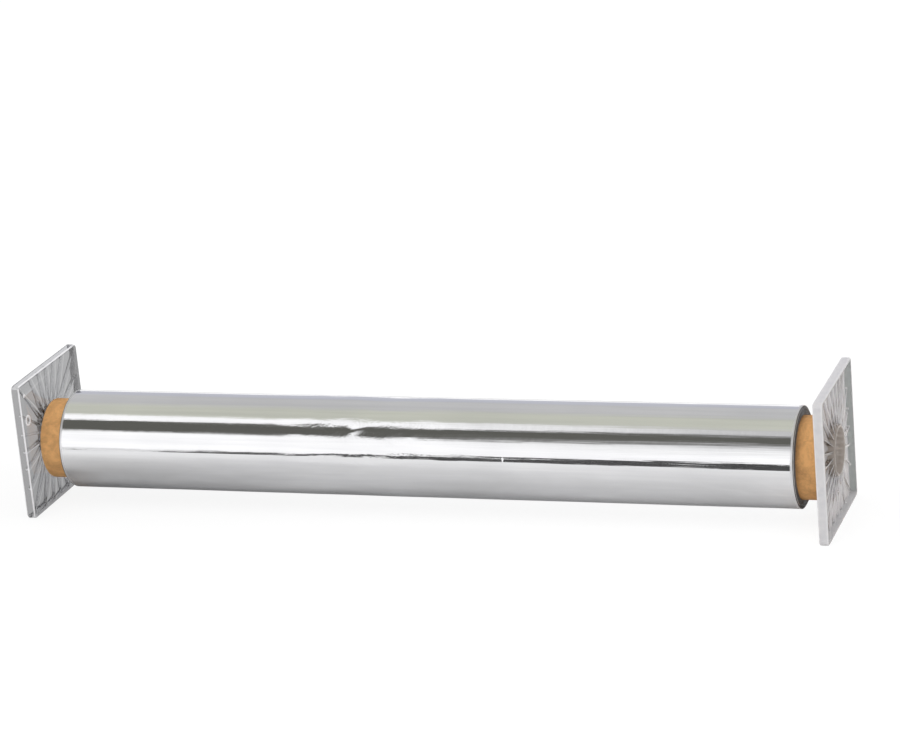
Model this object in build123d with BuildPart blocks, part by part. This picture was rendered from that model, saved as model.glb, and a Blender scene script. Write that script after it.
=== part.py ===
"""Catering roll of aluminium foil on a cardboard core, carried by two clear square end plates.

The roll lies along X and stands on the bottom edges of its end plates, with +Z up.
The origin is on the floor, under the middle of the roll.
Lengths are in millimetres and angles in degrees.
"""

import os
from math import cos, hypot, radians, sin, tan

from build123d import *

# The wound foil
foil_width = 450.0
foil_depth = 5.75
foil_step = 0.35
foil_edge_angle = 173.5
ring_count = 9
ring_wander = 0.45
core_fit = 0.05

# The cardboard core
core_diameter = 48.5
core_wall = 4.5
core_stub = 15.5
core_edge = 0.4

# The end plates, one moulding used at both ends
plate_side = 84.5
plate_corner = 3.0
plate_depth = 5.5
plate_edge = 0.6
plate_web = 1.4
rim_wall = 1.6
pocket_draft = 2.0
rib_count = 24
rib_thickness = 1.1
rib_hub_height = 3.4
rib_corner_height = 0.6
end_gap = 0.3

# The plug on each plate, which the core hangs on
plug_play = 5.0
plug_length = 18.0
plug_wall = 1.5
plug_draft = 1.5
plug_lead = 1.2
hang_gap = 0.3

# Ejector marks on the face towards the roll
mark_height = 0.4
mark_ring = 6.5
mark_line = 1.1
mark_ring_side = 7.0
mark_ring_top = 23.5
mark_pip = 2.2
mark_pip_side = 6.0
mark_pip_top = 7.5

# What follows from the sizes above
core_radius = core_diameter / 2
bore_radius = core_radius - core_wall
foil_radius = core_radius + foil_depth
core_length = foil_width + 2 * core_stub
plug_radius = bore_radius - plug_play
mouth_radius = plug_radius - plug_wall
plate_height = plate_side / 2
roll_height = plate_height - (plug_play - hang_gap)
plate_seat = core_length / 2 + end_gap
pocket_side = plate_side - 2 * rim_wall
pocket_corner = max(plate_corner - rim_wall, plate_edge)
rib_reach = hypot(plate_side, plate_side) / 2

cross_plane = Plane(origin=(0, 0, roll_height), x_dir=(0, 1, 0), z_dir=(1, 0, 0))
long_plane = Plane(origin=(0, 0, roll_height), x_dir=(1, 0, 0), z_dir=(0, -1, 0))
roll_axis = Axis((0, 0, roll_height), (1, 0, 0))


def at_angle(radius, angle):
    """A point of the roll's cross-section, with the angle counted from the back over the top."""
    return Vector(radius * cos(radians(angle)), radius * sin(radians(angle)))


def ring_section():
    """Half section of the winding: each ring of turns stands a little to one side of the next."""
    inner_radius = core_radius + core_fit
    ring_depth = (foil_radius - foil_step - inner_radius) / ring_count
    right = []
    for i in range(ring_count):
        x = foil_width / 2 + ring_wander * sin(2.3 * i)
        right.append((x, inner_radius + i * ring_depth))
        right.append((x, inner_radius + (i + 1) * ring_depth))
    right[-1] = (right[-1][0], foil_radius + foil_step)
    left = [(x - foil_width, radius) for x, radius in reversed(right)]
    return right + left


def make_foil():
    """All the turns as one solid, with the free edge of the last turn standing out as a step."""
    with BuildPart() as foil:
        with BuildSketch(long_plane):
            with BuildLine():
                Polyline(*ring_section(), close=True)
            make_face()
        revolve(axis=roll_axis)
        with BuildSketch(cross_plane):
            with BuildLine():
                radius = foil_radius - foil_step
                start = at_angle(radius, foil_edge_angle)
                turn = JernArc(start, at_angle(1, foil_edge_angle + 90), radius, 90)
                for _ in range(3):
                    radius += foil_step / 4
                    turn = JernArc(turn @ 1, turn % 1, radius, 90)
                Line(turn @ 1, start)
            make_face()
        extrude(amount=foil_width, both=True, mode=Mode.INTERSECT)
    return foil


def make_core():
    """The cardboard tube, longer than the foil is wide, so that it stands out at both ends."""
    with BuildPart() as core:
        with BuildSketch(cross_plane):
            Circle(core_radius)
            Circle(bore_radius, mode=Mode.SUBTRACT)
        extrude(amount=core_length / 2, both=True)
        ends = core.faces().filter_by(Axis.X)
        chamfer(ends.edges(), length=core_edge)
    return core


def plug_section():
    """Half section of the hub and plug, measured outwards from the plate's inner face."""
    tip_radius = plug_radius - plug_length * tan(radians(plug_draft))
    return [
        (plate_depth, 0),
        (plate_depth, plug_radius),
        (0, plug_radius),
        (plug_lead - plug_length, tip_radius),
        (-plug_length, tip_radius - plug_lead / 2),
        (-plug_length, 0),
    ]


def cup_section():
    """Half section of the hollow in the hub, open outwards and closed at the plug's tip."""
    floor_radius = mouth_radius - (plate_depth + plug_length) * tan(radians(plug_draft))
    return [
        (plate_depth, 0),
        (plate_depth, mouth_radius),
        (plug_wall - plug_length, floor_radius),
        (plug_wall - plug_length, 0),
    ]


def rib_section():
    """Side view of one rib, measured outwards from the plate's inner face: high at the hub, low in a corner."""
    return [
        (plate_web / 2, 0),
        (plate_web + rib_hub_height, 0),
        (plate_web + rib_hub_height, plug_radius),
        (plate_web + rib_corner_height, rib_reach),
        (plate_web / 2, rib_reach),
    ]


def make_plate(side):
    """The moulding at one end: side is 1 on the right, and -1 on the left, turned half round."""
    seat = Plane(origin=(side * plate_seat, 0, plate_height), x_dir=(0, side, 0), z_dir=(side, 0, 0))
    section = Plane(origin=seat.origin, x_dir=(side, 0, 0), z_dir=(0, -side, 0))
    plate_axis = Axis(seat.origin, (1, 0, 0))

    with BuildPart() as ribs:
        with BuildSketch(*[section.rotated((360 / rib_count * i, 0, 0)) for i in range(rib_count)]):
            with BuildLine():
                Polyline(*rib_section(), close=True)
            make_face()
        extrude(amount=rib_thickness / 2, both=True)
        with BuildSketch(seat):
            RectangleRounded(plate_side - rim_wall, plate_side - rim_wall, plate_corner)
        extrude(amount=plate_depth, mode=Mode.INTERSECT)

    with BuildPart() as plate:
        with BuildSketch(seat):
            RectangleRounded(plate_side, plate_side, plate_corner)
        extrude(amount=plate_depth)
        chamfer(plate.faces().filter_by(Axis.X).edges(), length=plate_edge)
        with BuildSketch(seat.offset(plate_depth)):
            RectangleRounded(pocket_side, pocket_side, pocket_corner)
        extrude(amount=plate_web - plate_depth, taper=pocket_draft, mode=Mode.SUBTRACT)
        add(ribs.part)
        for profile, mode in ((plug_section(), Mode.ADD), (cup_section(), Mode.SUBTRACT)):
            with BuildSketch(section):
                with BuildLine():
                    Polyline(*profile, close=True)
                make_face()
            revolve(axis=plate_axis, mode=mode)
        with BuildSketch(seat):
            with Locations((plate_side / 2 - mark_ring_side, plate_side / 2 - mark_ring_top)):
                Circle(mark_ring / 2)
                Circle(mark_ring / 2 - mark_line, mode=Mode.SUBTRACT)
            with Locations((plate_side / 2 - mark_pip_side, plate_side / 2 - mark_pip_top)):
                Circle(mark_pip / 2)
        extrude(amount=-mark_height)
    return plate


os.makedirs("parts", exist_ok=True)

foil_winding = make_foil()
foil_winding.part.label = "foil_winding"
export_step(foil_winding.part, "parts/foil_winding.step")

core_tube = make_core()
core_tube.part.label = "core_tube"
export_step(core_tube.part, "parts/core_tube.step")

left_end_plate = make_plate(-1)
left_end_plate.part.label = "left_end_plate"
export_step(left_end_plate.part, "parts/left_end_plate.step")

right_end_plate = make_plate(1)
right_end_plate.part.label = "right_end_plate"
export_step(right_end_plate.part, "parts/right_end_plate.step")
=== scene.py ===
import math

import bmesh
import bpy
from mathutils import Matrix, Vector, noise


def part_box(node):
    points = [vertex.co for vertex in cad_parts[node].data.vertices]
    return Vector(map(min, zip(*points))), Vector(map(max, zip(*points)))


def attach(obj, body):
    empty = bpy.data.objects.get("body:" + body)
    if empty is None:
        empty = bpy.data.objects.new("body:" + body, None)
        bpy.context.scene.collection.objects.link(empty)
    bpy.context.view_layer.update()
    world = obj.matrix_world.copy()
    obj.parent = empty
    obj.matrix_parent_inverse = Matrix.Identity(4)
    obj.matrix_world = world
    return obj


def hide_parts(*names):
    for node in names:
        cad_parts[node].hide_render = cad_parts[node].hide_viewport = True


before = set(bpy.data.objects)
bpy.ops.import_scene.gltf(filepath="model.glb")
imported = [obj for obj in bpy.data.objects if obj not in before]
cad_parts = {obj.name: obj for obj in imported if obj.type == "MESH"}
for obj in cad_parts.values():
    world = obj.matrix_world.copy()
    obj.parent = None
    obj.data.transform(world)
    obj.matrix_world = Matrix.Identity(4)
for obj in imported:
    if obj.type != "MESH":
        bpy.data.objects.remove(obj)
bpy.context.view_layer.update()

bl_info = {
    "name": "Catering foil roll",
    "version": (1, 0, 0),
    "blender": (4, 5, 0),
    "location": "View3D > Sidebar > Foil roll",
    "description": "Dresses a roll of aluminium foil on a cardboard core between two clear end plates",
    "category": "Object",
}

MM = 0.001

# Sizes of the frame's nodes
FOIL_LOW, FOIL_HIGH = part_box("foil_winding")
CORE_LOW, CORE_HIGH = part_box("core_tube")
PLATE_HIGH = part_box("right_end_plate")[1]
ROLL_HEIGHT = (CORE_LOW.z + CORE_HIGH.z) / 2
CORE_RADIUS = (CORE_HIGH.z - CORE_LOW.z) / 2
CORE_HALF = CORE_HIGH.x
FOIL_RADIUS = (FOIL_HIGH.z - FOIL_LOW.z) / 2

# The camera stands to the right of the roll and above it, turned left and down, and slightly tilted
CAMERA_PLACE = Vector((0.61304, -1.69895, 0.6317 + ROLL_HEIGHT))
CAMERA_YAW = 0.3372
CAMERA_PITCH = 0.3147
CAMERA_TILT = -0.0890
CAMERA_LENS = 129.66
CAMERA_SENSOR = 36.0

# The foil's outer turn: steps round the roll, along it and over its loose lip, the lip's reach in degrees,
# the nick's reach and the finer steps there, and the most that a wrinkle stands off
TURN_STEPS = 220
ALONG_STEPS = 300
LIP_STEPS = 5
LIP_REACH = 5.5
NICK_REACH = 0.6 * MM
NICK_STEP = 0.3 * MM
WRINKLE_LIMIT = 0.5 * MM

# Marks in the outer turn: the middle of the buckled stretch, a pinch and a dent, with angles in degrees
BUCKLES_X = -0.030
PINCH_X = -0.036
PINCH_ANGLE = 143
DENT_X = -0.001
DENT_ANGLE = 148

# The foil's end faces: how far they begin inside the outer turn, the slope from ring to ring, how far they
# reach into the core, how far inside the turn the spiral ends, and the angle that shifts ring after ring
FACE_DROP = 0.15 * MM
RING_SLOPE = 0.03 * MM
CORE_LAP = 0.3 * MM
SPIRAL_DROP = 0.1 * MM
RING_PHASE = 2.3

# The core's surface: steps round it, the length that is modelled finely, the seam's width, and its relief
CORE_STEPS = 300
FINE_LENGTH = 18 * MM
FINE_STEP = 0.5 * MM
SEAM_WIDTH = 0.6 * MM
BOARD_RELIEF = 0.03 * MM
SKIN_DEPTH = 0.05 * MM

# The core's cut ends: the edge's rounding, the plies with the grooves between them, and the cut's relief
CORE_EDGE = 0.4 * MM
PLIES = 9
PLY_FACE = 0.02 * MM
PLY_GROOVE = 0.13 * MM
CUT_DEPTH = 0.2 * MM
CUT_RELIEF = 0.06 * MM

# The end plates: the rim's depth and wall, the reach of the hub, and the ribs
PLATE_DEPTH = 5.5 * MM
RIM_WALL = 1.6 * MM
HUB_REACH = 15.2 * MM
RIB_COUNT = 24

# Finishes of a plate's faces, and the limits that tell them apart: lengths, then parts of a unit normal
CLEAR, EDGE, TOWARDS_ROLL, RIM, SILL, LEDGE, WALL, HUB, FLOOR = range(9)
FACE_SLACK = 0.02 * MM
FLOOR_DEPTH = 1.7 * MM
EDGE_BAND = 0.7 * MM
RIM_LAP = 0.3 * MM
RIB_END = 0.6 * MM
RIB_START = 1.35 * HUB_REACH
FACES_INWARDS = 0.9
FACES_OUTWARDS = 0.97
FACES_ACROSS = 0.15
FACES_UP = 0.7


# Meshes

def new_object(name, verts, faces):
    """A closed, smooth mesh at the origin, with its faces turned outwards."""
    mesh = bpy.data.meshes.new(name)
    mesh.from_pydata(verts, [], faces)
    shell = bmesh.new()
    shell.from_mesh(mesh)
    bmesh.ops.recalc_face_normals(shell, faces=shell.faces)
    shell.to_mesh(mesh)
    shell.free()
    mesh.shade_smooth()
    return link_object(name, mesh)


def link_object(name, mesh):
    obj = bpy.data.objects.new(name, mesh)
    bpy.context.scene.collection.objects.link(obj)
    return obj


def crease_by_angle(obj, degrees):
    """Smooth shading, with a crease where two faces meet at more than this angle."""
    obj.data.shade_smooth()
    shell = bmesh.new()
    shell.from_mesh(obj.data)
    for edge in shell.edges:
        edge.smooth = len(edge.link_faces) == 2 and edge.calc_face_angle(0.0) < math.radians(degrees)
    shell.to_mesh(obj.data)
    shell.free()


def plain_mesh(obj):
    """Makes what the modifiers give the object's own mesh, and removes them."""
    graph = bpy.context.evaluated_depsgraph_get()
    mesh = bpy.data.meshes.new_from_object(obj.evaluated_get(graph))
    obj.modifiers.clear()
    obj.data = mesh


def finish_piece(obj, body, slot, *nodes):
    """The piece rides on its body and stands for the nodes. The slot is not used."""
    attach(obj, body)
    if nodes:
        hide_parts(*nodes)


def around(x, radius, angle):
    """A point on the roll, with the angle in degrees from the back over the top."""
    a = math.radians(angle)
    return (x, radius * math.cos(a), ROLL_HEIGHT + radius * math.sin(a))


def ease(t):
    """A smooth step from 0 to 1."""
    t = min(max(t, 0.0), 1.0)
    return t * t * (3 - 2 * t)


def hill(across, along=0.0):
    """A round hill, 1 at its top, with both distances from there as shares of its reach."""
    return math.exp(-across ** 2 - along ** 2)


def ripple(x, y, z, seed):
    """Smooth noise between about -1 and 1."""
    return noise.noise(Vector((x + 17.3 * seed, y - 5.1 * seed, z + 3.7 * seed)))


# Shader and geometry trees

class Value:
    """A socket of a node tree that can be used in sums."""

    def __init__(self, tree, socket):
        self.tree = tree
        self.socket = socket

    def math(self, operation, *values):
        """A Math node on the values, in this socket's tree."""
        node = self.tree.nodes.new("ShaderNodeMath")
        node.operation = operation
        for socket, value in zip(node.inputs, values):
            put(self.tree, socket, value)
        return Value(self.tree, node.outputs[0])

    def __add__(self, other):
        return self.math("ADD", self, other)

    def __radd__(self, other):
        return self.math("ADD", other, self)

    def __sub__(self, other):
        return self.math("SUBTRACT", self, other)

    def __rsub__(self, other):
        return self.math("SUBTRACT", other, self)

    def __mul__(self, other):
        return self.math("MULTIPLY", self, other)

    def __rmul__(self, other):
        return self.math("MULTIPLY", other, self)

    def __truediv__(self, other):
        return self.math("DIVIDE", self, other)

    def __rtruediv__(self, other):
        return self.math("DIVIDE", other, self)


def put(tree, socket, value):
    """Links a value, or several, to a socket, or sets the socket's own number or colour."""
    if isinstance(value, Value):
        tree.links.new(value.socket, socket)
    elif isinstance(value, list):
        for one in value:
            tree.links.new(one.socket, socket)
    else:
        socket.default_value = value


class Tree:
    """Builds the nodes of one tree."""

    def __init__(self, tree):
        self.tree = tree
        tree.nodes.clear()

    def node(self, kind, settings=None, inputs=None, output=0):
        """One node: its settings first, then the values or links of its sockets."""
        node = self.tree.nodes.new(kind)
        for key, value in (settings or {}).items():
            if key == "stops":
                self.set_stops(node.color_ramp, value)
            else:
                setattr(node, key, value)
        for key, value in (inputs or {}).items():
            put(self.tree, self.find(node.inputs, key), value)
        if not node.outputs:
            return node
        return Value(self.tree, self.find(node.outputs, output))

    @staticmethod
    def find(sockets, key):
        """A socket by its number, identifier or name."""
        if isinstance(key, int):
            return sockets[key]
        for socket in sockets:
            if socket.enabled and key == socket.identifier:
                return socket
        return next(socket for socket in sockets if socket.enabled and key == socket.name)

    @staticmethod
    def set_stops(ramp, stops):
        while len(ramp.elements) > 1:
            ramp.elements.remove(ramp.elements[-1])
        for i, (place, colour) in enumerate(stops):
            element = ramp.elements[0] if i == 0 else ramp.elements.new(place)
            element.position = place
            element.color = (*colour, 1.0)

    def mix(self, factor, a, b):
        """Two colours mixed."""
        inputs = {"Factor_Float": factor, "A_Color": a, "B_Color": b}
        return self.node("ShaderNodeMix", {"data_type": "RGBA"}, inputs, "Result_Color")

    def spread(self, value, low, high, to_low=0.0, to_high=1.0):
        """A value moved from one range to another and kept inside it."""
        inputs = {"Value": value, "From Min": low, "From Max": high, "To Min": to_low, "To Max": to_high}
        return self.node("ShaderNodeMapRange", {"clamp": True}, inputs)

    def vector(self, operation, a, b=None, output=0):
        """A sum on vectors."""
        inputs = {0: a} if b is None else {0: a, 1: b}
        return self.node("ShaderNodeVectorMath", {"operation": operation}, inputs, output)

    def noise(self, vector, scale, detail=2.0, roughness=0.5, distortion=0.0):
        """Smooth noise in space."""
        inputs = {"Vector": vector, "Scale": scale, "Detail": detail, "Roughness": roughness}
        inputs["Distortion"] = distortion
        return self.node("ShaderNodeTexNoise", None, inputs)

    def place(self):
        """The place on the object, in metres."""
        return self.node("ShaderNodeTexCoord", None, None, "Object")

    def off_axis(self, place):
        """The distance of a place from the roll's axis."""
        across = self.vector("MULTIPLY", place, (0.0, 1.0, 1.0))
        return self.vector("LENGTH", self.vector("SUBTRACT", across, (0.0, 0.0, ROLL_HEIGHT)), None, "Value")

    def painted_floor_shading(self):
        """The floor's painted shade: 0 under the roll's left end, where it is painted darkest, and 1 farther
        off.
        """
        place = self.place()
        across = self.vector("LENGTH", self.vector("MULTIPLY", place, (0.0, 1.0, 0.0)), None, "Value")
        x = self.vector("DOT_PRODUCT", place, (1.0, 0.0, 0.0), "Value")
        along = self.spread(x, -0.25, 0.15, 0.0, 0.8)
        far = self.spread(across, 0.035, 0.16)
        return far + (1.0 - far) * along

    def split(self, vector):
        """The three parts of a vector."""
        node = self.tree.nodes.new("ShaderNodeSeparateXYZ")
        put(self.tree, node.inputs[0], vector)
        return [Value(self.tree, socket) for socket in node.outputs]

    def on_rib(self, place):
        """1 where a rib stands behind a plate's face towards the roll, and 0 elsewhere."""
        _, y, z = self.split(place)
        z = z - PLATE_HIGH.z / 2
        turn = y.math("ARCTAN2", z, y) * (RIB_COUNT / (2 * math.pi))
        off = turn.math("PINGPONG", turn, 0.5) * (2 * math.pi / RIB_COUNT)
        away = off * y.math("SQRT", y * y + z * z)
        return self.spread(away, 0.1 * MM, 0.6 * MM, 1.0, 0.0)

    def bump(self, height, strength, distance):
        """Relief that only the shading shows."""
        inputs = {"Strength": strength, "Distance": distance, "Height": height}
        return self.node("ShaderNodeBump", None, inputs)


def new_material(name, inputs_of):
    """A material with one Principled shader, whose inputs the function gives."""
    material = bpy.data.materials.new(name)
    material.use_nodes = True
    tree = Tree(material.node_tree)
    shader = tree.node("ShaderNodeBsdfPrincipled", None, inputs_of(tree))
    tree.node("ShaderNodeOutputMaterial", None, {"Surface": shader})
    return material


def opaque(colour, share=1.0):
    """A colour with its alpha, made darker or lighter."""
    return (*[min(c * share, 1.0) for c in colour], 1.0)


def foil_material(roll):
    """Bright rolled foil: rolling lines, crinkles and dull patches, with a painted cloudy reflection that
    darkens it below, and scuffed at the ends.
    """
    def inputs_of(tree):
        place = tree.place()
        x, _, z = tree.split(place)
        stretched = tree.node("ShaderNodeMapping", None, {"Vector": place, "Scale": (1.0, 0.05, 0.05)})
        lines = tree.noise(stretched, 900.0, 3.0)
        crinkle = tree.noise(place, 260.0, 2.0, 0.4)
        patches = tree.noise(place, 18.0)
        wound = tree.node("ShaderNodeMapping", None, {"Vector": place, "Scale": (6.0, 240.0, 240.0)})
        streaks = tree.noise(wound, 1.0, 3.0, 0.6)
        # Painted reflection: cloudy darker patches painted on the foil below the roll's middle, standing for
        # the grey floor that it reflects
        drawn_out = tree.node("ShaderNodeMapping", None, {"Vector": place, "Scale": (9.0, 45.0, 45.0)})
        painted_reflection_clouds = tree.noise(drawn_out, 1.0, 3.0, 0.6, 0.8)
        below = tree.spread(z, ROLL_HEIGHT - 0.012, ROLL_HEIGHT + 0.002, 1.0, 0.15)
        buckled = tree.spread(x.math("ABSOLUTE", x + 0.035), 0.02, 0.06, 0.05, 0.0)
        fine = tree.noise(place, 700.0, 2.0, 0.6)
        drawn = tree.spread(x, -0.05, 0.15, 0.05, 0.16)
        end = roll.foil_width / 2
        scuffed = tree.spread(x.math("ABSOLUTE", x), end - 1.7 * MM, end - 0.9 * MM, 0.0, 0.42)
        colour = roll.foil_colour
        duller = (colour[0] * 0.90, colour[1] * 0.90, colour[2] * 0.91, 1.0)
        face = tree.mix(tree.spread(patches * 0.4 + streaks * 0.6, 0.38, 0.62), opaque(colour), duller)
        dullness = roll.foil_roughness
        roughness = tree.spread(patches, 0.35, 0.7, dullness * 0.8, dullness * 1.35) + scuffed
        relief = lines * 0.005 + crinkle * 0.02 + streaks * drawn + fine * buckled
        return {
            # The foil's own patches, with the painted reflection darkening it below
            "Base Color": tree.mix(tree.spread(painted_reflection_clouds, 0.42, 0.66) * below, face, opaque(colour, 0.82)),
            "Metallic": 1.0,
            "Roughness": roughness,
            "Normal": tree.bump(relief, 1.0, 0.001),
        }
    return new_material("bright_foil", inputs_of)


def foil_edge_material(roll):
    """The edges of the turns at the roll's ends: duller than the face and painted much darker as painted
    shade, and streaked turn by turn.
    """
    def inputs_of(tree):
        radius = tree.off_axis(tree.place())
        streak = tree.node("ShaderNodeTexNoise", {"noise_dimensions": "1D"}, {
            "W": radius * 5200.0, "Scale": 1.0, "Detail": 3.0,
        })
        # Painted shade: the end faces take only a small share of the foil's own colour
        dark, light = opaque(roll.foil_colour, 0.11), opaque(roll.foil_colour, 0.30)
        return {
            "Base Color": tree.mix(tree.spread(streak, 0.3, 0.7), dark, light),
            "Metallic": 0.85,
            "Roughness": 0.38,
            "Normal": tree.bump(streak, 0.35, 0.0002),
        }
    return new_material("foil_edges", inputs_of)


def board_material(roll):
    """Brown board: mottled, with short fibres, with painted light towards the left end and painted shade
    towards the right end.
    """
    def inputs_of(tree):
        place = tree.place()
        blotch = tree.noise(place, 100.0, 6.0, 0.75, 0.4)
        along = tree.node("ShaderNodeMapping", None, {"Vector": place, "Scale": (0.5, 1.6, 1.6)})
        fibre = tree.noise(along, 900.0, 3.0, 0.7)
        light = opaque(roll.board_colour, 1.2)
        base = tree.mix(tree.spread(blotch, 0.38, 0.62), opaque(roll.board_colour, 0.72), light)
        base = tree.mix(tree.spread(fibre, 0.45, 0.75) * 0.35, base, light)
        # Painted light and shade: the board is painted lighter towards the left end and darker towards the
        # right end
        shade_rightwards = tree.spread(tree.split(place)[0], -0.2, 0.2)
        painted_light_and_shade = tree.mix(shade_rightwards, light, opaque(roll.board_colour, 0.3))
        return {
            "Base Color": tree.mix(0.22, base, painted_light_and_shade),
            "Roughness": 0.82,
            "Normal": tree.bump(fibre * 0.6 + blotch * 0.4, 0.4, 0.0003),
        }
    return new_material("brown_board", inputs_of)


def plastic_material(name, colour, gloss, clearness=1.0, painted_rib_light=False):
    """Moulded plastic with soft flow marks under a bright gloss; with painted rib light it is painted lighter
    over the ribs, a painted highlight.
    """
    def inputs_of(tree):
        place = tree.place()
        flow = tree.noise(place, 60.0, 2.0, 0.5, 0.6)
        shade = opaque(colour)
        # Painted highlight: a lighter colour over the ribs behind the face
        if painted_rib_light:
            shade = tree.mix(tree.on_rib(place), shade, (*[c ** 0.7 for c in colour], 1.0))
        return {
            "Base Color": shade,
            "Roughness": tree.spread(flow, 0.3, 0.7, 0.08, 0.16),
            "IOR": 1.08,
            "Transmission Weight": clearness,
            "Coat Weight": gloss,
            "Coat Roughness": 0.05,
            "Coat IOR": 1.57,
            "Normal": tree.bump(flow * 0.8 + tree.noise(place, 420.0) * 0.2, 0.25, 0.0004),
        }
    return new_material(name, inputs_of)


def plastic_edge_material(name, clearness, share=1.0):
    """The plates' edges, painted whiter than the clear faces: a painted highlight for the light that they
    gather.
    """
    def inputs_of(tree):
        haze = tree.noise(tree.place(), 240.0)
        dim, bright = opaque((0.90, 0.89, 0.92), share), opaque((1.0, 0.98, 0.99), share)
        return {
            "Base Color": tree.mix(tree.spread(haze, 0.3, 0.7), dim, bright),
            "Roughness": 0.2,
            "IOR": 1.57,
            "Transmission Weight": clearness,
            "Normal": tree.bump(haze, 0.2, 0.0003),
        }
    return new_material(name, inputs_of)


# The foil

def foil_wrinkle(x, angle):
    """How far the outer turn stands off, in mm: soft waves, buckles left of the middle, a pinch, a dent."""
    y = math.sin(math.radians(angle))
    z = math.cos(math.radians(angle))
    angle %= 360
    buckle = hill((x - BUCKLES_X) / 0.050)
    from_pinch = angle - PINCH_ANGLE
    pinch = hill((x - PINCH_X + from_pinch * 0.0006) / 0.0035, from_pinch / 4.5)
    dent = hill((x - DENT_X) / 0.0025, (angle - DENT_ANGLE) / 3.0)
    wave = ripple(x * 9.0, y * 1.7, z * 1.7, 1) * 0.060
    wave += buckle * ripple(x * 42.0, y * 5.5, z * 5.5, 2) * 0.18
    wave += 0.27 * pinch
    wave += 0.07 * dent
    wave += (0.3 + buckle) * ripple(x * 110.0, y * 11.0, z * 11.0, 3) * 0.03
    wave += ripple(x * 55.0, y * 8.0, z * 8.0, 4) * 0.012
    below = ease((angle - 184) / 15) * (1 - ease((angle - 270) / 30))
    wave += below * ripple(x * 16.0 + angle * 0.03, y * 4.0, z * 4.0, 7) * 0.16
    return wave


def foil_rows(roll):
    """The winding's outline as rows of angle, radius and share of the lip's lift."""
    root = roll.edge_angle - LIP_REACH
    rows = []
    for i in range(TURN_STEPS + 1):
        t = i / TURN_STEPS
        rows.append((root + 360 * t, FOIL_RADIUS - roll.foil_step * (1 - t), 0.0))
    lip = [(root + 360 + LIP_REACH * i / LIP_STEPS, (i / LIP_STEPS) ** 2) for i in range(LIP_STEPS + 1)]
    rows += [(angle, FOIL_RADIUS, lifted) for angle, lifted in lip[1:]]
    rows += [(angle, FOIL_RADIUS - roll.lip_thickness, lifted) for angle, lifted in reversed(lip)]
    return rows


def make_foil(roll):
    """The outer turn with its wrinkles and its lifted free edge, closed at both ends."""
    rows = foil_rows(roll)
    half = roll.foil_width / 2
    xs = [half * (2 * i / ALONG_STEPS - 1) for i in range(ALONG_STEPS + 1)]
    xs = sorted(xs + [roll.nick_place + i * NICK_STEP for i in range(-5, 6)])
    verts = []
    for x in xs:
        nick = hill((x - roll.nick_place) / NICK_REACH)
        lift = (0.03 + 0.03 * ease((x + 0.2) / 0.4) + 0.02 * ripple(x * 25, 0, 0, 5) + 0.15 * nick) * MM
        drawn_back = 0.5 * nick + 0.25 * (0.5 + ripple(x * 60, 1, 0, 6)) - 1.8 * ease((x + 0.05) / 0.25)
        for angle, radius, lifted in rows:
            stand = lifted * lift + foil_wrinkle(x, angle) * roll.wrinkle * MM
            verts.append(around(x, radius + min(stand, WRINKLE_LIMIT), angle - lifted * drawn_back))
    n = len(rows)
    faces = []
    for i in range(len(xs) - 1):
        for k in range(n):
            a, b = i * n + k, i * n + (k + 1) % n
            faces.append((a, b, b + n, a + n))
    close_foil_end(verts, faces, rows, 0, xs[0], roll)
    close_foil_end(verts, faces, rows, (len(xs) - 1) * n, xs[-1], roll)
    return new_object("foil_outer_turn", verts, faces)


def ring_depth(roll):
    """The depth of one ring of turns on an end face."""
    return (FOIL_RADIUS - roll.foil_step - CORE_RADIUS) / roll.ring_count


def close_foil_end(verts, faces, rows, base, x0, roll):
    """The end face: rings of turns in to the core, each a little out of line with the next."""
    under = base + len(rows) - 1
    for k in range(LIP_STEPS):
        outer = base + TURN_STEPS + k
        faces.append((outer, outer + 1, under - k - 1, under - k))
    rings = [(FOIL_RADIUS - roll.foil_step - FACE_DROP, 0.0)]
    for i in reversed(range(roll.ring_count)):
        shift = roll.ring_wander * math.sin(RING_PHASE * i)
        rings.append((rings[-1][0] - RING_SLOPE, shift))
        rings.append((CORE_RADIUS + ring_depth(roll) * i, shift))
    rings[-1] = (CORE_RADIUS - CORE_LAP, rings[-1][1])
    outer_loop = [base + k for k in range(TURN_STEPS + 1)]
    for i, (radius, shift) in enumerate(rings):
        start = len(verts)
        verts.extend(around(x0 + shift, radius, row[0]) for row in rows[:TURN_STEPS])
        loop = [start + k for k in range(TURN_STEPS)] + [start]
        for k in range(TURN_STEPS):
            if i == 0 and k == TURN_STEPS - 1:
                # The lip's root, where the end of the outer turn meets its beginning
                faces.append((outer_loop[k], loop[k], start, base, under, base + TURN_STEPS))
            else:
                faces.append((outer_loop[k], loop[k], loop[k + 1], outer_loop[k + 1]))
        outer_loop = loop
    faces.append(tuple(outer_loop[:-1]))


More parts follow.
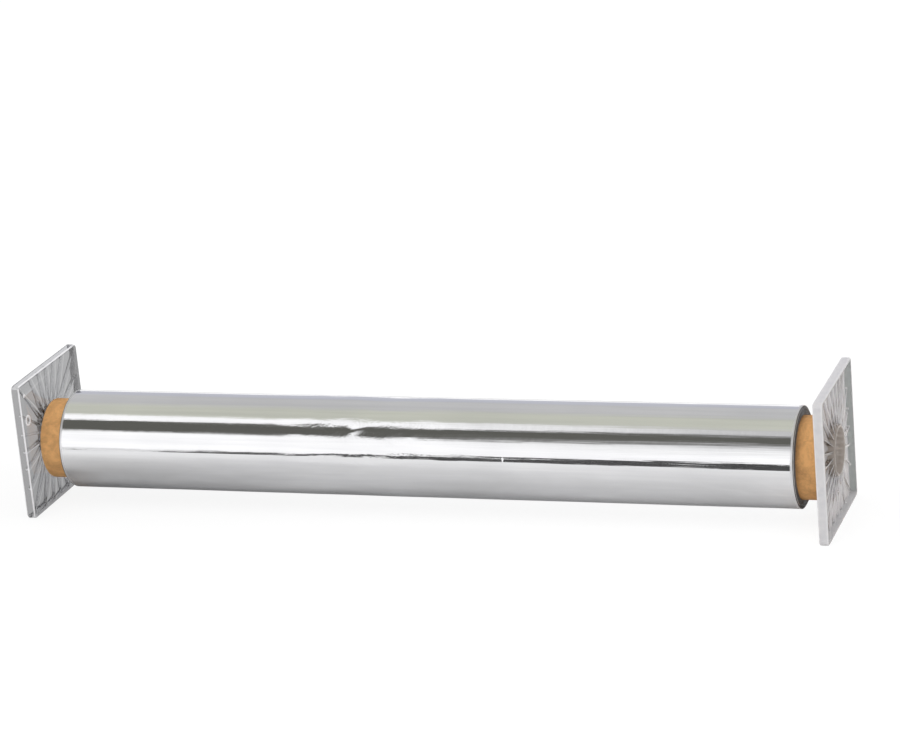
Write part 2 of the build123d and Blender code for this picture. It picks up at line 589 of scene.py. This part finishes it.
def foil_edge_tree():
    """Geometry Nodes: the foil's turns as a flat spiral at each end, swept with a strip on edge."""
    group = bpy.data.node_groups.new("foil_turn_edges", "GeometryNodeTree")
    group.is_modifier = True
    tree = Tree(group)
    sockets = (
        "Turns", "Inner Radius", "Outer Radius", "Half Width", "Stand", "Thickness",
        "Ring Depth", "Ring Wander", "Unevenness", "Seed",
    )
    for label in sockets:
        group.interface.new_socket(label, in_out="INPUT", socket_type="NodeSocketFloat")
    group.interface.new_socket("Material", in_out="INPUT", socket_type="NodeSocketMaterial")
    group.interface.new_socket("Geometry", in_out="OUTPUT", socket_type="NodeSocketGeometry")
    start = group.nodes.new("NodeGroupInput")
    given = {socket.name: Value(group, socket) for socket in start.outputs if socket.name}

    spiral = tree.node("GeometryNodeCurveSpiral", None, {
        "Resolution": 96, "Rotations": given["Turns"], "Height": 0.0,
        "Start Radius": given["Inner Radius"], "End Radius": given["Outer Radius"],
    })
    spiral = tree.node("GeometryNodeSetCurveNormal", {"mode": "Z_UP"}, {"Curve": spiral})
    strip = tree.node("GeometryNodeCurvePrimitiveQuadrilateral", None, {
        "Width": given["Thickness"], "Height": given["Stand"] * 2,
    })
    swept = tree.node("GeometryNodeCurveToMesh", None, {
        "Curve": spiral, "Profile Curve": strip, "Fill Caps": True,
    })
    ends = []
    for side in (1, -1):
        middle = tree.node("ShaderNodeCombineXYZ", None, {"X": given["Half Width"] * side, "Z": ROLL_HEIGHT})
        ends.append(tree.node("GeometryNodeTransform", None, {
            "Geometry": swept, "Translation": middle, "Rotation": (0.0, math.pi / 2, 0.0),
        }))
    both = tree.node("GeometryNodeJoinGeometry", None, {"Geometry": ends})
    place = tree.node("GeometryNodeInputPosition")
    ring = (tree.off_axis(place) - given["Inner Radius"]) / given["Ring Depth"]
    ring = ring.math("FLOOR", ring)
    shift = ring.math("SINE", ring * RING_PHASE) * given["Ring Wander"]
    uneven = tree.node("ShaderNodeTexNoise", {"noise_dimensions": "4D"}, {
        "Vector": place, "W": given["Seed"], "Scale": 900.0, "Detail": 1.0,
    })
    shift = shift + (uneven - 0.5) * given["Unevenness"]
    offset = tree.node("ShaderNodeCombineXYZ", None, {"X": shift})
    moved = tree.node("GeometryNodeSetPosition", None, {"Geometry": both, "Offset": offset})
    real = tree.node("GeometryNodeRealizeInstances", None, {"Geometry": moved})
    painted = tree.node("GeometryNodeSetMaterial", None, {"Geometry": real, "Material": given["Material"]})
    tree.node("NodeGroupOutput", None, {"Geometry": painted})
    return group


def make_foil_edges(roll, material):
    """The edges of the turns on both end faces, from the geometry tree."""
    obj = link_object("foil_turn_edges", bpy.data.meshes.new("foil_turn_edges"))
    modifier = obj.modifiers.new("foil_turn_edges", "NODES")
    group = foil_edge_tree()
    modifier.node_group = group
    values = {
        "Turns": roll.edge_turns,
        "Inner Radius": CORE_RADIUS,
        "Outer Radius": FOIL_RADIUS - roll.foil_step - SPIRAL_DROP,
        "Half Width": roll.foil_width / 2,
        "Stand": roll.edge_stand,
        "Thickness": roll.edge_thickness,
        "Ring Depth": ring_depth(roll),
        "Ring Wander": roll.ring_wander,
        "Unevenness": roll.edge_stand,
        "Seed": 3.0,
        "Material": material,
    }
    for socket in group.interface.items_tree:
        if socket.name in values:
            modifier[socket.identifier] = values[socket.name]
    plain_mesh(obj)
    return obj


# The core

def core_rows(roll):
    """The tube's outline as rows of place along it and radius: outside, right end, bore, left end."""
    outer = CORE_RADIUS
    bore = CORE_RADIUS - roll.core_wall
    end = CORE_HALF
    fine = [end - CORE_EDGE - FINE_STEP * i for i in range(int(FINE_LENGTH / FINE_STEP))]
    outside = [(x, outer) for x in reversed(fine)]
    corner = [(end - 0.12 * MM, outer - 0.10 * MM), (end - PLY_FACE, outer - 0.30 * MM)]
    face = []
    ply = (roll.core_wall - 0.6 * MM) / PLIES
    for i in range(PLIES):
        radius = outer - 0.35 * MM - ply * i
        face += [(end - PLY_FACE, radius), (end - PLY_FACE, radius - ply * 0.7)]
        face.append((end - PLY_GROOVE, radius - ply * 0.85))
    inner = [(end - PLY_FACE, bore + 0.25 * MM), (end - 0.12 * MM, bore + 0.08 * MM), (end - CORE_EDGE, bore)]
    inner += [(end - inwards, bore) for inwards in (3 * MM, 8 * MM, 20 * MM)]
    right = outside + corner + face + inner
    left = [(-x, radius) for x, radius in reversed(right)]
    return right + left


def make_core(roll):
    """The cardboard tube, with its plies at the cut ends and the seam that winds round it."""
    rows = core_rows(roll)
    verts = []
    for x, radius in rows:
        for k in range(CORE_STEPS):
            angle = 360 * k / CORE_STEPS
            y = math.cos(math.radians(angle))
            z = math.sin(math.radians(angle))
            r = radius
            if radius > CORE_RADIUS - SKIN_DEPTH:
                turn = (angle / 360 - x / roll.seam_pitch) % 1.0
                away = min(turn, 1 - turn) * 2 * math.pi * radius
                r -= roll.seam_depth * hill(away / SEAM_WIDTH)
                r -= BOARD_RELIEF * (1 + ripple(x * 120, y * 3, z * 3, 11))
            sag = 0.0
            if abs(x) > CORE_HALF - CUT_DEPTH:
                sag = CUT_RELIEF * (1 + ripple(radius * 2600, y * 4, z * 4, 12))
            verts.append(around(x - math.copysign(sag, x), r, angle))
    n = CORE_STEPS
    count = len(rows)
    faces = []
    for i in range(count):
        for k in range(n):
            a, b = i * n + k, i * n + (k + 1) % n
            c, d = ((i + 1) % count) * n + (k + 1) % n, ((i + 1) % count) * n + k
            faces.append((a, b, c, d))
    return new_object("core_board", verts, faces)


# The end plates

def plate_finish(face, side, middle):
    """The finish of one face of a plate, from its place and the way it faces."""
    half = PLATE_HIGH.z / 2
    y, z = face.center.y - middle.y, face.center.z - middle.z
    depth = abs(face.center.x) - (PLATE_HIGH.x - PLATE_DEPTH)
    outwards = face.normal.x * side
    if outwards < -FACES_INWARDS and depth > -FACE_SLACK:
        return TOWARDS_ROLL
    from_axis = math.hypot(y, z)
    if from_axis < HUB_REACH:
        return HUB
    reach = max(abs(y), abs(z))
    on_rim = reach > half - RIM_WALL - RIM_LAP
    rib_top = depth > FLOOR_DEPTH and reach < half - RIM_WALL - RIB_END and from_axis > RIB_START
    rim_edge = depth > PLATE_DEPTH - EDGE_BAND or reach > half - EDGE_BAND
    slanting = FACES_ACROSS < abs(outwards) < FACES_OUTWARDS
    if depth < 0 or (slanting and (rib_top or rim_edge)):
        return EDGE
    if not on_rim:
        return FLOOR if outwards > FACES_OUTWARDS and depth < FLOOR_DEPTH else CLEAR
    if abs(face.normal.z) > FACES_UP:
        return SILL if face.normal.z * z > 0 else LEDGE
    return WALL if face.normal.y * y < 0 else RIM


def make_plate(node, name, side, materials, roll):
    """The moulding with softened edges, from the solid's own surface."""
    low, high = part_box(node)
    middle = (low + high) / 2
    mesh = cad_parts[node].data.copy()
    mesh.name = name
    mesh.materials.clear()
    for material in materials:
        mesh.materials.append(material)
    shell = bmesh.new()
    shell.from_mesh(mesh)
    bmesh.ops.remove_doubles(shell, verts=shell.verts, dist=0.001 * MM)
    bmesh.ops.dissolve_limit(shell, angle_limit=math.radians(0.5), verts=shell.verts, edges=shell.edges)
    shell.to_mesh(mesh)
    shell.free()
    obj = link_object(name, mesh)
    soften = obj.modifiers.new("soft_edges", "BEVEL")
    soften.width = roll.plate_softness
    soften.segments = 2
    soften.limit_method = "ANGLE"
    soften.angle_limit = math.radians(40)
    soften.use_clamp_overlap = False
    plain_mesh(obj)
    for face in obj.data.polygons:
        face.material_index = plate_finish(face, side, middle)
    crease_by_angle(obj, 35)
    return obj


# Settings, operators and panel

class FoilRollSettings(bpy.types.PropertyGroup):
    """Sizes and colours of the roll."""

    foil_width: bpy.props.FloatProperty(
        name="Foil width", description="Width of the sheet", default=0.450,
        unit="LENGTH", precision=4,
    )
    foil_step: bpy.props.FloatProperty(
        name="Outer step", description="How far the free edge stands above the turn below",
        default=0.35 * MM, unit="LENGTH", precision=5,
    )
    edge_angle: bpy.props.FloatProperty(
        name="Free edge", description="Place of the free edge in degrees, from the back over the top",
        default=173.5,
    )
    lip_thickness: bpy.props.FloatProperty(
        name="Lip thickness", description="Thickness of the loose lip", default=0.06 * MM,
        unit="LENGTH", precision=5,
    )
    nick_place: bpy.props.FloatProperty(
        name="Nick", description="Place of the small nick along the free edge", default=0.055,
        unit="LENGTH", precision=4,
    )
    wrinkle: bpy.props.FloatProperty(name="Wrinkles", description="Strength of the wrinkles", default=1.0)
    ring_count: bpy.props.IntProperty(name="Rings", description="Rings of turns on the end faces", default=9)
    ring_wander: bpy.props.FloatProperty(
        name="Ring wander", description="How far the rings stand out of line", default=0.45 * MM,
        unit="LENGTH", precision=5,
    )
    edge_turns: bpy.props.FloatProperty(
        name="Edge turns", description="Turns of the spiral on an end face", default=44,
    )
    edge_stand: bpy.props.FloatProperty(
        name="Edge stand", description="How far the turns' edges stand out", default=0.3 * MM,
        unit="LENGTH", precision=5,
    )
    edge_thickness: bpy.props.FloatProperty(
        name="Edge thickness", description="Thickness of one shown turn", default=0.05 * MM,
        unit="LENGTH", precision=5,
    )
    core_wall: bpy.props.FloatProperty(
        name="Core wall", description="Thickness of the core's board", default=4.5 * MM,
        unit="LENGTH", precision=4,
    )
    seam_pitch: bpy.props.FloatProperty(
        name="Seam pitch", description="Length along the core of one turn of its seam", default=0.095,
        unit="LENGTH", precision=4,
    )
    seam_depth: bpy.props.FloatProperty(
        name="Seam depth", description="Depth of the core's seam", default=0.12 * MM,
        unit="LENGTH", precision=5,
    )
    plate_softness: bpy.props.FloatProperty(
        name="Plate softness", description="How far the plates' edges are softened", default=0.18 * MM,
        unit="LENGTH", precision=5,
    )
    foil_colour: bpy.props.FloatVectorProperty(
        name="Foil", description="Colour of the foil", subtype="COLOR",
        default=(0.86, 0.86, 0.87), min=0, max=1,
    )
    foil_roughness: bpy.props.FloatProperty(
        name="Foil roughness", description="Dullness of the foil", default=0.08,
    )
    board_colour: bpy.props.FloatVectorProperty(
        name="Board", description="Colour of the core's board", subtype="COLOR",
        default=(0.86, 0.452, 0.176), min=0, max=1,
    )
    plastic_colour: bpy.props.FloatVectorProperty(
        name="Plastic", description="Tint of the clear faces of both end plates", subtype="COLOR",
        default=(0.95, 0.955, 0.965), min=0, max=1,
    )
    # Painted shade: the right plate's inside rim walls are painted a darker grey-green than its clear faces
    wall_colour: bpy.props.FloatVectorProperty(
        name="Walls", description="Tint of the inside of the right plate's rim", subtype="COLOR",
        default=(0.48, 0.53, 0.51), min=0, max=1,
    )
    # Painted shade: the left plate's rim and hub are painted darker grey than the right plate's
    left_rim_colour: bpy.props.FloatVectorProperty(
        name="Left rim", description="Tint of the left plate's rim and hub", subtype="COLOR",
        default=(0.36, 0.36, 0.365), min=0, max=1,
    )
    # Painted light of the brown core seen through the clear plastic, on the right plate's hub and its face
    # towards the roll
    hub_colour: bpy.props.FloatVectorProperty(
        name="Hub", description="Tint of the right plate's hub and of its face towards the roll",
        subtype="COLOR", default=(0.66, 0.60, 0.55), min=0, max=1,
    )
    # Painted shade: the left plate's face towards the roll is painted dark grey for the shade seen through it
    left_painted_shade: bpy.props.FloatVectorProperty(
        name="Left smoke", description="Tint of the left plate's face towards the roll", subtype="COLOR",
        default=(0.14, 0.14, 0.143), min=0, max=1,
    )
    milky_colour: bpy.props.FloatVectorProperty(
        name="Milky plastic", description="Colour of the floor between the right plate's ribs",
        subtype="COLOR", default=(0.88, 0.86, 0.88), min=0, max=1,
    )
    milky_clearness: bpy.props.FloatProperty(
        name="Milky clearness", description="How much light passes through that floor",
        default=0.55, min=0, max=1,
    )
    floor_colour: bpy.props.FloatVectorProperty(
        name="Floor", description="Colour of the floor", subtype="COLOR",
        default=(0.85, 0.85, 0.85), min=0, max=1,
    )


class FOILROLL_OT_winding(bpy.types.Operator):
    """Makes the outer turn of foil with its free edge"""

    bl_idname = "foilroll.winding"
    bl_label = "Foil"

    def execute(self, context):
        roll = context.scene.foil_roll
        obj = make_foil(roll)
        crease_by_angle(obj, 40)
        obj.data.materials.append(foil_material(roll))
        finish_piece(obj, "roll", "foil", "foil_winding")
        return {"FINISHED"}


class FOILROLL_OT_turn_edges(bpy.types.Operator):
    """Makes the edges of the turns on both end faces"""

    bl_idname = "foilroll.turn_edges"
    bl_label = "Edges of the turns"

    def execute(self, context):
        roll = context.scene.foil_roll
        obj = make_foil_edges(roll, foil_edge_material(roll))
        finish_piece(obj, "roll", "foil")
        return {"FINISHED"}


class FOILROLL_OT_core(bpy.types.Operator):
    """Makes the cardboard core"""

    bl_idname = "foilroll.core"
    bl_label = "Core"

    def execute(self, context):
        roll = context.scene.foil_roll
        obj = make_core(roll)
        crease_by_angle(obj, 50)
        obj.data.materials.append(board_material(roll))
        finish_piece(obj, "roll", "cardboard", "core_tube")
        return {"FINISHED"}


class FOILROLL_OT_plates(bpy.types.Operator):
    """Makes the two clear end plates"""

    bl_idname = "foilroll.plates"
    bl_label = "End plates"

    def execute(self, context):
        roll = context.scene.foil_roll
        clear = plastic_material("clear_plastic", roll.plastic_colour, 0.2)
        # The edges' near-white colour is a painted highlight
        edge = plastic_edge_material("plastic_edges", 0.25)
        # The rim is a dimmer copy of the edges' finish: painted shade
        rim = plastic_edge_material("plastic_rim", 0.2, 0.84)
        # The rim's inside walls take a darker grey-green: painted shade
        wall = plastic_material("wall_plastic", roll.wall_colour, 0.6)
        # The hub and the face towards the roll are painted with the brown of the core behind them: painted
        # light seen through
        hub = plastic_material("hub_plastic", roll.hub_colour, 0.3, 0.5)
        milky = plastic_material("milky_plastic", roll.milky_colour, 0.3, roll.milky_clearness)
        # Painted shade: the left plate's dark grey tints; its face towards the roll is painted lighter over
        # the ribs, a painted highlight
        left = plastic_material("left_shaded_plastic", roll.left_painted_shade, 0.35, painted_rib_light=True)
        left_hub = plastic_material("left_hub_plastic", roll.left_rim_colour, 0.35)
        left_rim = plastic_material("left_rim_plastic", roll.left_rim_colour, 0.5)
        # Towards the roll, rim, sill, ledge, wall, hub and floor
        left_finishes = (left, left_rim, left_rim, clear, left_rim, left_hub, clear)
        right_finishes = (hub, rim, rim, rim, wall, hub, milky)
        for name, side, finishes in (("left", -1, left_finishes), ("right", 1, right_finishes)):
            materials = (clear, edge, *finishes)
            obj = make_plate(f"{name}_end_plate", f"{name}_clear_plate", side, materials, roll)
            finish_piece(obj, f"{name}_plate", "clear_plastic", f"{name}_end_plate")
        return {"FINISHED"}


class FOILROLL_OT_stage(bpy.types.Operator):
    """Makes the floor, the dark card, the surroundings, the lamp and the camera"""

    bl_idname = "foilroll.stage"
    bl_label = "Stage"

    def execute(self, context):
        make_floor(context.scene.foil_roll)
        make_dark_card()
        make_world(context.scene)
        make_lamp()
        make_camera(context.scene)
        context.scene.view_settings.view_transform = "Standard"
        return {"FINISHED"}


class FOILROLL_PT_panel(bpy.types.Panel):
    """The roll's settings and pieces"""

    bl_idname = "FOILROLL_PT_panel"
    bl_label = "Foil roll"
    bl_space_type = "VIEW_3D"
    bl_region_type = "UI"
    bl_category = "Foil roll"

    def draw(self, context):
        for name in FoilRollSettings.__annotations__:
            self.layout.prop(context.scene.foil_roll, name)
        for operator in OPERATORS:
            self.layout.operator(operator.bl_idname)


OPERATORS = (
    FOILROLL_OT_winding, FOILROLL_OT_turn_edges, FOILROLL_OT_core, FOILROLL_OT_plates, FOILROLL_OT_stage,
)
CLASSES = (FoilRollSettings, *OPERATORS, FOILROLL_PT_panel)


# The stage

def make_floor(roll):
    """A pale floor: near white to the camera, with a soft shadow, and lit for all else, with painted shade
    near the roll.
    """
    size = 30.0
    corners = [(-size, -size, 0.0), (size, -size, 0.0), (size, size, 0.0), (-size, size, 0.0)]
    mesh = bpy.data.meshes.new("floor")
    mesh.from_pydata(corners, [], [(0, 1, 2, 3)])
    obj = link_object("floor", mesh)
    material = bpy.data.materials.new("floor")
    material.use_nodes = True
    tree = Tree(material.node_tree)
    # Painted shade: the floor is painted darker near the roll and darkest under its left end, which the foil
    # reflects; the camera sees a little of it
    shaded, open_floor = opaque(roll.floor_colour, 0.70), opaque(roll.floor_colour, 1.14)
    colour = tree.mix(tree.painted_floor_shading(), shaded, open_floor)
    lit = tree.node("ShaderNodeBsdfDiffuse", None, {"Color": colour})
    white = tree.node("ShaderNodeEmission", None, {"Color": (1.0, 1.0, 1.0, 1.0), "Strength": 1.1})
    straight = tree.node("ShaderNodeLightPath", None, None, "Is Camera Ray")
    through = tree.node("ShaderNodeLightPath", None, None, "Is Transmission Ray")
    seen = straight.math("MAXIMUM", straight, through)
    surface = tree.node("ShaderNodeMixShader", None, {0: seen * 0.80, 1: lit, 2: white})
    tree.node("ShaderNodeOutputMaterial", None, {"Surface": surface})
    mesh.materials.append(material)


def make_dark_card():
    """A narrow dark card in front of the roll, seen only in its reflections."""
    in_front = -0.30
    outline = (
        (-0.60, 0.013), (-0.10, 0.016), (0.16, 0.001), (0.40, 0.001),
        (0.40, 0.070), (0.16, 0.061), (-0.036, 0.054), (-0.10, 0.050),
        (-0.18, 0.045), (-0.25, 0.037), (-0.30, 0.022), (-0.60, 0.016),
    )
    corners = [(x, in_front, z) for x, z in outline]
    mesh = bpy.data.meshes.new("dark_card")
    mesh.from_pydata(corners, [], [tuple(range(len(corners)))])
    obj = link_object("dark_card", mesh)
    material = bpy.data.materials.new("dark_card")
    material.use_nodes = True
    tree = Tree(material.node_tree)
    dark = tree.node("ShaderNodeEmission", None, {"Color": (0.08, 0.08, 0.08, 1.0), "Strength": 1.0})
    tree.node("ShaderNodeOutputMaterial", None, {"Surface": dark})
    mesh.materials.append(material)
    for name in ("camera", "diffuse", "transmission", "shadow", "volume_scatter"):
        setattr(obj, f"visible_{name}", False)


def band_ramp(tree, height, bands):
    """A ramp of colours over the height, with the bands' places in degrees from the front over the top."""
    stops = [((angle + 180) / 360, colour) for angle, colour in bands]
    return tree.node("ShaderNodeValToRGB", {"stops": stops}, {"Fac": height})


def make_world(scene):
    """White all round, with the soft boxes and dark gaps of a studio where bright metal reflects it."""
    world = bpy.data.worlds.new("studio")
    scene.world = world
    world.use_nodes = True
    tree = Tree(world.node_tree)
    direction = tree.node("ShaderNodeTexCoord", None, None, "Generated")
    x, y, z = tree.split(direction)
    # The angle from the front over the top, as a share of the circle, which starts at the back
    height = x.math("ARCTAN2", z, y * -1.0) / (2 * math.pi) + 0.5
    bright, dark, grey = (1.2, 1.2, 1.2), (0.125, 0.125, 0.112), (0.60, 0.60, 0.60)
    beige, lavender = (0.62, 0.63, 0.55), (0.58, 0.59, 0.65)
    overhead = ((104, beige), (118, grey), (146, grey), (154, lavender), (170, lavender), (174, bright))
    sharp = (
        (-180, bright), (36, bright), (41, dark), (63.5, dark), (66, bright), (76, bright), (81.5, beige),
    )
    soft = (
        (-180, bright), (14, bright), (24, (1.06, 1.06, 1.06)), (34, (0.85, 0.85, 0.85)),
        (42, (0.5, 0.5, 0.5)), (50, dark), (59, dark), (64, (0.40, 0.40, 0.40)),
        (68, (0.62, 0.62, 0.62)), (78, (0.60, 0.60, 0.59)), (84, beige),
    )
    left = band_ramp(tree, height, sharp + overhead)
    right = band_ramp(tree, height, soft + overhead)
    studio = tree.mix(tree.spread(x, -0.34, -0.22), left, right)
    glossy = tree.node("ShaderNodeLightPath", None, None, "Is Glossy Ray")
    seen = tree.mix(glossy, (1.0, 1.0, 1.0, 1.0), studio)
    diffuse = tree.node("ShaderNodeLightPath", None, None, "Is Diffuse Ray")
    seen = tree.mix(diffuse, seen, (0.75, 0.75, 0.75, 1.0))
    background = tree.node("ShaderNodeBackground", None, {"Color": seen, "Strength": 1.0})
    tree.node("ShaderNodeOutputWorld", None, {"Surface": background})


def make_lamp():
    """One large soft lamp overhead, which the metal doesn't show."""
    light = bpy.data.lights.new("soft_lamp", "AREA")
    light.shape = "DISK"
    light.size = 1.6
    light.energy = 9.0
    lamp = bpy.data.objects.new("soft_lamp", light)
    lamp.location = (-0.5, -0.7, 1.6)
    lamp.rotation_euler = (Vector((0.0, 0.0, 0.03)) - lamp.location).to_track_quat("-Z", "Y").to_euler()
    lamp.visible_glossy = False
    bpy.context.scene.collection.objects.link(lamp)


def make_camera(scene):
    """The camera at the photograph's place and angle."""
    data = bpy.data.cameras.new("camera")
    data.lens = CAMERA_LENS
    data.sensor_width = CAMERA_SENSOR
    data.sensor_fit = "HORIZONTAL"
    data.clip_end = 100.0
    ahead = Vector((
        -math.sin(CAMERA_YAW) * math.cos(CAMERA_PITCH),
        math.cos(CAMERA_YAW) * math.cos(CAMERA_PITCH),
        -math.sin(CAMERA_PITCH),
    ))
    level = Vector((math.cos(CAMERA_YAW), math.sin(CAMERA_YAW), 0.0))
    upright = level.cross(ahead)
    right = level * math.cos(CAMERA_TILT) + upright * math.sin(CAMERA_TILT)
    up = upright * math.cos(CAMERA_TILT) - level * math.sin(CAMERA_TILT)
    camera = bpy.data.objects.new("camera", data)
    turn = Matrix((right, up, -ahead)).transposed().to_4x4()
    camera.matrix_world = Matrix.Translation(CAMERA_PLACE) @ turn
    scene.collection.objects.link(camera)
    scene.camera = camera


def register():
    for kind in CLASSES:
        bpy.utils.register_class(kind)
    bpy.types.Scene.foil_roll = bpy.props.PointerProperty(type=FoilRollSettings)


def unregister():
    del bpy.types.Scene.foil_roll
    for kind in reversed(CLASSES):
        bpy.utils.unregister_class(kind)


def main():
    register()
    bpy.ops.foilroll.winding()
    bpy.ops.foilroll.turn_edges()
    bpy.ops.foilroll.core()
    bpy.ops.foilroll.plates()
    bpy.ops.foilroll.stage()


if __name__ == "__main__":
    main()
